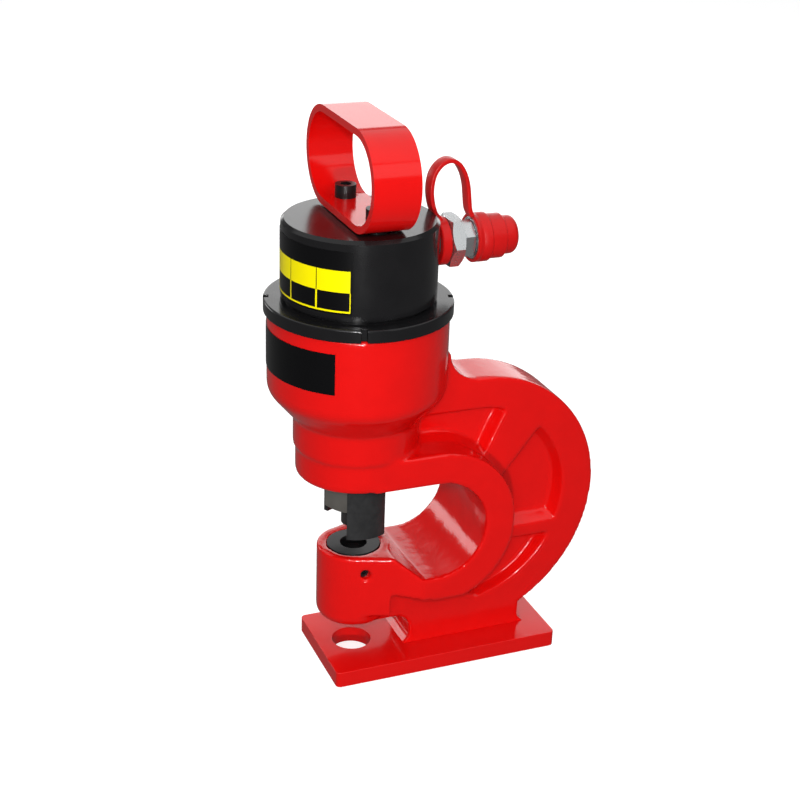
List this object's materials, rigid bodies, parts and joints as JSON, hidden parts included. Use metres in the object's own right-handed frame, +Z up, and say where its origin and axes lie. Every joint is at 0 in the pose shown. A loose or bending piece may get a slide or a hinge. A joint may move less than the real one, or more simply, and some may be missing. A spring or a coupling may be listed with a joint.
{
  "type": "hydraulic hole punch",
  "caption": "C-frame hydraulic hole punch: a single-acting cylinder with carry handle and quick coupler drives a punch through a stripper into a die on a footed casting.",
  "frame": {"origin": "on the punch axis, at the underside of the base plate in the middle of the slug outlet", "axes": "+Z up along the punch axis, +X from the punch back to the spine and the coupler, +Y across the frame"},
  "size_m": [0.2731, 0.144, 0.4507],
  "materials": {
    "red_paint": "gloss",
    "black_satin": "satin",
    "black_steel": "satin",
    "tool_steel": "blackened",
    "plain_steel": "machined",
    "hard_chrome": "ground",
    "zinc_steel": "zinc plated",
    "bronze": "machined",
    "seal_rubber": "matt",
    "red_plastic": "satin",
    "label_yellow": "printed film",
    "label_black": "printed film"
  },
  "bodies": {
    "frame_body": {"base_plate": "red_paint", "base_screws": "black_steel", "frame_foot": "red_paint", "frame_jaw": "red_paint", "frame_bend": "red_paint", "frame_spine": "red_paint", "frame_head": "red_paint", "die": "tool_steel", "die_screw": "zinc_steel", "stripper": "tool_steel", "stripper_screws": "black_steel", "guide_bush": "bronze", "rod_wiper": "seal_rubber", "spring_seat": "plain_steel", "return_spring": "plain_steel", "cylinder": "black_satin", "lock_ring": "black_satin", "handle_spacers": "black_steel", "handle": "red_paint", "handle_screws": "black_steel", "port_seal": "seal_rubber", "adaptor": "zinc_steel", "coupler": "zinc_steel", "valve_stop": "plain_steel", "valve_spring": "plain_steel", "cap_strap": "red_plastic", "rating_label": "label_yellow", "barrel_label": "label_black"},
    "ram_body": {"ram": "hard_chrome", "wear_ring": "bronze", "piston_seal": "seal_rubber", "punch": "tool_steel", "punch_nut": "plain_steel"},
    "valve_body": {"valve": "bronze"},
    "cap_body": {"dust_cap": "red_plastic"}
  },
  "joints": [
    {"name": "ram_slide", "type": "slide", "parent": "frame_body", "child": "ram_body", "axis": [0, 0, -1], "range_m": [0, 0.024], "stiffness_N_per_m": 8000, "springref_m": -0.02, "deforming": ["return_spring"]},
    {"name": "valve_slide", "type": "slide", "parent": "frame_body", "child": "valve_body", "axis": [-1, 0, 0], "range_m": [0, 0.004], "stiffness_N_per_m": 400, "springref_m": -0.004, "deforming": ["valve_spring"]},
    {"name": "cap_pull", "type": "slide", "parent": "frame_body", "child": "cap_body", "axis": [1, 0, 0], "range_m": [0, 0.03], "deforming": ["cap_strap"]}
  ]
}
